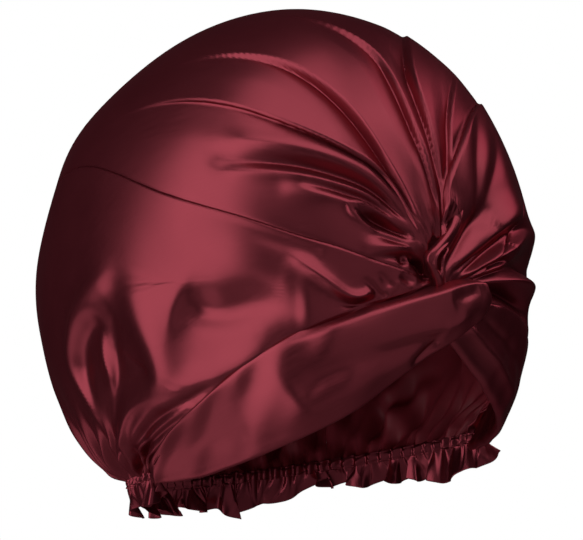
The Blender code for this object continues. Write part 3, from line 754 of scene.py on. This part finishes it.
# creases: each a narrow bell across its own slanting line, lower towards the hem
chance = np.random.default_rng(23)
creases = np.zeros_like(across)
for place in np.linspace(0, FAR_END, CREASES):
    place = place + chance.uniform(-0.004, 0.004)
    height, width = chance.uniform(0.4, 1.4), chance.uniform(0.7, 1.6)
    slope, length = chance.uniform(-0.016, 0.016), chance.uniform(0.45, 1.1)
    off = (across - place - slope * down * (0.4 + down)) * ELASTIC_LENGTH / width
    creases = creases + height * np.exp(-off ** 2) * (1 - 0.75 * ease(down / length))
flute = flute + creases * ease(down / 0.08 + 0.4) + 0.8 * pleat_wave(across) * (1 - down) ** 2
# the strip hangs from the casing, tips out towards the left ear, and is half as high at its two ends
ends = ease((1 - np.abs(2 * across / FAR_END - 1)) / 0.10)
flare = (0.5 + 3.0 * np.sin(np.radians(ELASTIC_END_ANGLE * (2 * across - 1)))) * down
drop = CASING_HEIGHT / 2 - 0.8 + FRILL_HEIGHT * down * (0.50 + 0.50 * ends)
hem = 1.6 * np.sin(phase + 2.0) + 2.6 * soft_waves(across * 6, 0 * across, 24, (0.5, 1.6), 4)
drop = drop + down ** 2 * hem * (0.3 + 0.7 * ends)
drop = drop + down * curve_through(across, FRILL_CUT[:, 0], FRILL_CUT[:, 1])
points = line + out * (flare + flute - FRILL_INSET)[..., None] + sideways * slide[..., None]
points = points - drop[..., None] * np.array([0.0, 0.0, 1.0])
weave = np.stack([across, down], axis=-1) * FRILL_WEAVE
frill_satin = dyed_satin("dyed satin, frill", "943C47", "80323D")
frill = cloth_piece("nape_frill_cloth", points, weave, frill_satin, wall=0.4)
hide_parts("nape_ruffle")
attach(frill, "root")

# BRIMS. Each brim is a band of satin folded double along its lower edge and sewn to the crown's front
# edge. The wearer's right brim crosses over the knot and turns back at its end.

# A brim's rows from the knot back to the ear: how far its upper edge stands out, its lower edge, and how
# far it bellies out between them.
RIGHT_BRIM = np.array([
    # along, out,  low x,  low y,  low z, belly
    [0.17, 1.6, -19.0, -103.5, 26.0, 5.0],
    [0.26, 0.6, -33.5, -101.5, 15.0, 7.0],
    [0.36, 0.2, -48.0, -94.0, 6.2, 5.5],
    [0.46, 0.0, -60.5, -81.5, -2.6, 3.0],
    [0.56, 0.0, -69.0, -66.5, -10.3, 1.0],
    [0.66, 0.0, -74.5, -49.0, -18.0, 0.3],
    [0.76, 0.0, -77.5, -31.5, -23.5, 0.2],
    [0.86, 0.0, -81.5, -18.5, -26.0, 0.3],
    [0.96, 0.0, -85.5, -14.0, -26.5, 0.5],
])
# The turned end of the right brim, from its tip at the knot to where the band above takes over.
RIGHT_BRIM_TURN = np.array([
    # high x, high y, high z, low x,  low y,  low z, belly
    [24.0, -107.5, 62.0, 25.0, -107.5, 57.0, 0.5],
    [20.5, -110.5, 65.5, 22.5, -110.5, 53.0, 1.5],
    [12.0, -112.5, 66.5, 15.5, -112.0, 47.5, 2.5],
    [2.0, -113.2, 65.5, 6.0, -111.6, 41.5, 3.0],
    [-9.0, -111.8, 63.0, -6.0, -109.0, 35.0, 3.0],
])
LEFT_BRIM = np.array([
    # along, out,  low x, low y,  low z, belly
    [0.17, 0.2, 3.0, -103.5, 44.0, 0.5],
    [0.26, 0.2, 25.5, -98.0, 22.0, 2.0],
    [0.36, 0.2, 39.5, -89.5, 9.5, 2.0],
    [0.46, 0.2, 53.0, -77.0, -0.8, 3.0],
    [0.56, 0.0, 64.0, -62.5, -9.5, 2.0],
    [0.66, 0.0, 71.5, -46.5, -18.0, 0.0],
    [0.76, 0.0, 77.0, -30.5, -24.0, -1.0],
    [0.86, 0.0, 81.0, -18.5, -27.0, 0.0],
    [0.96, 0.0, 85.5, -14.0, -27.5, 0.5],
])
# A brim's cross-section, from its seam down the outer face, round the fold and up the inner face.
BRIM_SECTION = np.array([
    # place, down, out
    [0.00, 0.000, 0.00],
    [0.04, 0.010, 0.45],
    [0.20, 0.330, 0.75],
    [0.38, 0.840, 1.00],
    [0.44, 0.965, 0.90],
    [0.48, 1.000, 0.00],
    [0.52, 0.965, -0.90],
    [0.60, 0.820, -0.90],
    [0.80, 0.330, -0.60],
    [0.96, 0.010, -0.40],
    [1.00, 0.000, 0.00],
])
BRIM_HALF_THICKNESS = 1.9
BRIM_COLUMNS = 84
BRIM_WEAVE = 120.0, 260.0   # mm of the weave map round the section and along the band
RIGHT_TUCK = 6.0


def brim_sections(rows, on_left):
    """Upper edge, lower edge and belly of close sections. The upper edge lies on the crown's front edge,
    raised by what the crown's folds rise there, averaged over nine sections."""
    fine = through_rows(rows, np.linspace(0, 1, 3 * len(rows)))
    along = fine[:, 0]
    across = edge_line(along)
    across = 1 - across if on_left else across
    plain = bag_point(across, along)
    outward = bag_outward(plain)
    lift = ((crown_surface(across[:, None], along[:, None])[:, 0] - plain) * outward).sum(axis=-1)
    lift = np.convolve(np.pad(lift, 4, mode="edge"), np.ones(9) / 9, "valid")
    upper = plain + outward * (lift + fine[:, 1])[:, None]
    return np.concatenate([upper, fine[:, 2:6]], axis=1)


def brim_face(down, way, sections):
    """A straight line from the upper to the lower edge with a belly, four times down by one less down."""
    section = through_rows(sections, way)
    upper, lower, belly = section[..., 0:3], section[..., 3:6], section[..., 6]
    points = upper + (lower - upper) * down[..., None]
    return points + bag_outward(points) * (belly * 4 * down * (1 - down))[..., None]


def brim_cloth(name, sections, folds, tuck, rows, on_left):
    """The folded band: its middle face, moved out and in by the cross-section, with each fold on its outer
    face and a third of it on the inner one. Its sewn edge curls in to the crown by the tuck, which fades
    away from the knot. The left brim's columns are turned round so that its faces point outwards."""
    def line_on_brim(table):
        values = through_rows(table, np.linspace(0, 1, LINE_STEPS))
        return brim_face(values[:, 1], values[:, 0], sections), values[:, 2:]

    place, way = np.meshgrid(np.linspace(0, 1, BRIM_COLUMNS, endpoint=False), np.linspace(0, 1, rows))
    across_band = curve_through(place, BRIM_SECTION[:, 0], BRIM_SECTION[:, 1:])
    down, out = across_band[..., 0], across_band[..., 1]
    face = brim_face(down, way, sections)
    outward = bag_outward(face)
    ends = np.sqrt(np.clip(ease(way / 0.03) * ease((1 - way) / 0.03), 0.02, 1.0))
    share = 0.35 + 0.65 * ease(0.5 + out)
    move = fold_cloth(face, outward, folds, line_of=line_on_brim) * share[..., None]
    drift = 0.5 * soft_waves(way * 9, down * 1.5, 31, (0.4, 1.1), 6)
    curl = tuck * ease(way / 0.12) * ease((0.62 - way) / 0.20) * ease((0.10 - down) / 0.10)
    points = face + outward * (BRIM_HALF_THICKNESS * out * ends + drift - curl)[..., None] + move
    if on_left:
        points = points[:, ::-1]
    weave = np.stack([place, way], axis=-1) * BRIM_WEAVE
    return cloth_piece(name, points, weave, brim_satin, wall=0, closed=True)


RIGHT_BRIM_FOLDS = [
    # way, down, height, left, right
    [[.30, .78, 0, 4, 4], [.318, .70, -2, 4, 4], [.361, .60, -2.6, 5, 6], [.446, .50, -2.6, 5, 8],
     [.51, .49, -3, 6, 8], [.545, .53, -2.4, 6, 8], [.58, .60, 0, 6, 8]],
    [[.20, .62, 0, 2, 3], [.271, .68, 1.6, 2, 4], [.318, .62, 2, 2.4, 5], [.361, .52, 1.8, 3, 6],
     [.42, .45, 0, 4, 6]],
    [[.305, .78, 0, 1.6, 1.6], [.325, .84, -2.6, 2.4, 2.4], [.348, .88, -2, 2, 2], [.36, .93, 0, 1.6, 1.6]],
    [[.14, .30, 0, 2, 3], [.178, .30, -1.6, 2.6, 4], [.22, .30, -1.8, 3, 5], [.28, .26, 0, 4, 5]],
    [[.66, .62, 0, 8, 8], [.76, .58, -1.5, 9, 9], [.90, .50, -1, 8, 8], [1, .50, 0, 4, 4]],
]
LEFT_BRIM_FOLDS = [
    # way, down, height, left, right
    [[.00, .60, 1, 2, 2], [.10, .64, 2.4, 2, 3], [.24, .68, 2.2, 2.4, 3], [.36, .72, 1, 3, 4],
     [.46, .76, 0, 4, 4]],
    [[.00, .34, 0, 3, 3], [.12, .36, -2, 3, 4], [.30, .40, -2, 5, 5], [.50, .44, 0, 6, 6]],
]

brim_satin = dyed_satin("dyed satin, folded brim", "9A3F4A", "8C3742")
turn_rows = through_rows(RIGHT_BRIM_TURN, np.linspace(0, 1, 3 * len(RIGHT_BRIM_TURN)))
right_sections = np.concatenate([turn_rows, brim_sections(RIGHT_BRIM, on_left=False)])
# the turned end runs smoothly into the band: four times over, each section takes half of its neighbours
for _ in range(4):
    right_sections[1:-1] = 0.5 * right_sections[1:-1] + 0.25 * (right_sections[:-2] + right_sections[2:])
left_sections = brim_sections(LEFT_BRIM, on_left=True)
right_brim = brim_cloth("brim_right_cloth", right_sections, RIGHT_BRIM_FOLDS, tuck=RIGHT_TUCK, rows=260,
                        on_left=False)
left_brim = brim_cloth("brim_left_cloth", left_sections, LEFT_BRIM_FOLDS, tuck=0.0, rows=200, on_left=True)
for piece, node, flat, crown_side in (
        (right_brim, "front_band_right", (0.046, 0.19), "crown_side_right_cloth"),
        (left_brim, "front_band_left", (0.036, 0.15), "crown_side_left_cloth")):
    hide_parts(node)
    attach(piece, "root")

# STRAND. The gathered ends of the left side's cloth roll into one strand over the knot, which turns down
# and is sewn in behind the right brim.
STRAND = np.array([
    # left x, left z, right x, right z, rise
    [13.0, 96.5, 20.0, 99.0, 0.3],
    [9.7, 92.2, 18.5, 94.0, 2.2],
    [6.6, 88.4, 16.0, 89.5, 3.4],
    [2.5, 84.6, 13.0, 85.5, 4.2],
    [-2.6, 80.6, 9.5, 81.5, 4.6],
    [-6.1, 77.8, 6.5, 77.5, 4.6],
    [-7.2, 74.8, 5.0, 73.5, 4.2],
    [-5.2, 70.5, 4.5, 69.0, 3.6],
    [-2.8, 65.5, 5.0, 64.0, 2.8],
    [-1.0, 58.5, 7.0, 57.5, 1.6],
    [2.5, 50.0, 9.0, 49.0, 0.6],
])
# The strand's cross-section: a round left edge, a crown, a long fall under the far cloth and a flat back.
STRAND_SECTION = np.array([
    # place, right share, out share
    [0.00, 0.00, 0.30],
    [0.06, 0.02, 0.75],
    [0.14, 0.14, 1.00],
    [0.30, 0.45, 0.95],
    [0.45, 0.80, 0.45],
    [0.52, 1.00, -0.30],
    [0.60, 0.95, -0.60],
    [0.80, 0.40, -0.45],
    [0.94, 0.06, -0.20],
    [1.00, 0.00, 0.30],
])
# Creases on the strand, by place along it, place across it, height and half width in mm.
STRAND_CREASES = [
    # way 1, right 1, way 2, right 2, height, half width
    [0.42, 0.62, 0.74, 0.34, -2.2, 0.8],
    [0.38, 0.46, 0.70, 0.18, 1.0, 1.0],
    [0.44, 0.78, 0.78, 0.50, 0.9, 0.8],
    [0.50, 0.86, 0.84, 0.62, -1.2, 0.6],
]
STRAND_WEAVE = 28.0, 55.0   # mm of the weave map round the section and along the strand

place, way = np.meshgrid(np.linspace(0, 1, 96, endpoint=False), np.linspace(0, 1, 220))
section = through_rows(STRAND, way)
profile = curve_through(place, STRAND_SECTION[:, 0], STRAND_SECTION[:, 1:])
share, out = profile[..., 0], profile[..., 1]
left, right, rise = section[..., 0:2], section[..., 2:4], section[..., 4]
flat = left + (right - left) * share[..., None]
wide = np.linalg.norm(right - left, axis=-1)
height = rise * out
for way_1, right_1, way_2, right_2, crease, half_width in STRAND_CREASES:
    done = np.clip((way - way_1) / (way_2 - way_1), 0, 1)
    off = (share - right_1 - (right_2 - right_1) * done) * wide
    ends = ease(done / 0.2) * ease((1 - done) / 0.2) * ease(out / 0.3)
    height = height + crease * ends * np.exp(-(off / half_width) ** 2)
# the flat outline is laid on the front of the bag and raised by its height
deep = 1 - (flat[..., 0] / BAG_HALF_WIDTH) ** 2 - ((flat[..., 1] - BAG_MIDDLE[2]) / BAG_HEIGHT_ABOVE) ** 2
base = np.stack([flat[..., 0], BAG_MIDDLE[1] - BAG_HALF_DEPTH * np.sqrt(deep), flat[..., 1]], axis=-1)
points = base + bag_outward(base) * height[..., None]
weave = np.stack([place, way], axis=-1) * STRAND_WEAVE
strand = cloth_piece("knot_strand_cloth", points, weave, brim_satin, wall=0, closed=True)
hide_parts("twist_strand")
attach(strand, "root")

# STUDIO. A floor of white paper well below the bonnet, and soft lights: a tall one on the camera's left,
# one overhead, one high behind on the right, and two weak ones in front and low on the left. Little else
# lights the bonnet, so its deep folds stay dark.
FLOOR_Z = -1.7
FLOOR_HALF_WIDTH = 6.0


def on_circle(azimuth, elevation, distance):
    """Offset of this length from the sines and cosines of azimuth, 0 in front of the bonnet, and
    elevation."""
    turned = np.radians(azimuth)
    raised = np.radians(elevation)
    return np.array([np.sin(turned) * np.cos(raised), -np.cos(turned) * np.cos(raised),
                     np.sin(raised)]) * distance


def aim(thing, place, target):
    """Puts a light or the camera at place and turns it to the target: its own axes are a level one, one
    above it, and the way back from the target."""
    back = unit(place - target)
    side = unit(np.cross([0.0, 0.0, 1.0], back))
    axes = np.eye(4)
    axes[:3] = np.stack([side, np.cross(back, side), back, place], axis=-1)
    thing.matrix_world = axes.T.tolist()


STUDIO_LIGHTS = [
    # name, azimuth from the camera, elevation, distance m, width m, height m, brightness
    ("key", -55.0, 13.0, 2.0, 1.9, 3.4, 1.35),
    ("top", 40.0, 74.0, 2.0, 2.4, 2.6, 1.15),
    ("edge", 118.0, 36.0, 2.0, 1.5, 1.4, 1.15),
    ("front", 30.0, 2.0, 2.4, 3.4, 3.0, 0.20),
    ("low left", -78.0, -44.0, 2.0, 1.4, 0.8, 0.45),
]
CAMERA_AZIMUTH = -32.0
CAMERA_ELEVATION = 6.0
CAMERA_DISTANCE = 1.15
CAMERA_TARGET = np.array([0.0, 0.010, 0.060])
MM_PER_PIXEL = 0.46
IMAGE_WIDTH = 583

for name, azimuth, elevation, distance, width, height, brightness in STUDIO_LIGHTS:
    lamp = bpy.data.lights.new(name, "AREA")
    lamp.shape = "RECTANGLE"
    lamp.size = width
    lamp.size_y = height
    lamp.energy = brightness * np.pi * width * height
    light = bpy.data.objects.new(name, lamp)
    bpy.context.scene.collection.objects.link(light)
    aim(light, CAMERA_TARGET + on_circle(CAMERA_AZIMUTH + azimuth, elevation, distance), CAMERA_TARGET)

# Matt white paper: it lights the bonnet softly from below, and is plain white where the camera sees it.
paper = cleared(bpy.data.materials.new("matt white paper"))
ray = add_node(paper, "ShaderNodeLightPath")
matt = add_node(paper, "ShaderNodeBsdfDiffuse", {"Color": linear("B0B0AE")})
glow = add_node(paper, "ShaderNodeEmission", {"Color": linear("FFFFFF"), "Strength": 1.0})
mixed = add_node(paper, "ShaderNodeMixShader", {},
                 {0: ray.outputs["Is Camera Ray"], 1: matt.outputs["BSDF"], 2: glow.outputs["Emission"]})
add_node(paper, "ShaderNodeOutputMaterial", {}, {"Surface": mixed.outputs["Shader"]})
mesh = bpy.data.meshes.new("floor")
corners = np.array([[-1, -1, 0], [1, -1, 0], [1, 1, 0], [-1, 1, 0]]) * FLOOR_HALF_WIDTH + [0, 0, FLOOR_Z]
mesh.from_pydata(corners.tolist(), [], [(0, 1, 2, 3)])
mesh.materials.append(paper)
floor = bpy.data.objects.new("floor", mesh)
bpy.context.scene.collection.objects.link(floor)

world = cleared(bpy.data.worlds.new("studio air"))
bpy.context.scene.world = world
ray = add_node(world, "ShaderNodeLightPath")
dim = add_node(world, "ShaderNodeBackground", {"Color": linear("FFFFFF"), "Strength": 0.02})
white = add_node(world, "ShaderNodeBackground", {"Color": linear("FFFFFF"), "Strength": 1.0})
mixed = add_node(world, "ShaderNodeMixShader", {},
                 {0: ray.outputs["Is Camera Ray"], 1: dim.outputs["Background"],
                  2: white.outputs["Background"]})
add_node(world, "ShaderNodeOutputWorld", {}, {"Surface": mixed.outputs["Shader"]})

lens = bpy.data.cameras.new("camera")
lens.sensor_width = 36.0
lens.lens = 36.0 * CAMERA_DISTANCE / (MM_PER_PIXEL * IMAGE_WIDTH * MM)
lens.clip_start = 0.05
lens.clip_end = 50.0
camera = bpy.data.objects.new("camera", lens)
bpy.context.scene.collection.objects.link(camera)
aim(camera, CAMERA_TARGET + on_circle(CAMERA_AZIMUTH, CAMERA_ELEVATION, CAMERA_DISTANCE), CAMERA_TARGET)
bpy.context.scene.camera = camera
bpy.context.scene.view_settings.view_transform = "Standard"
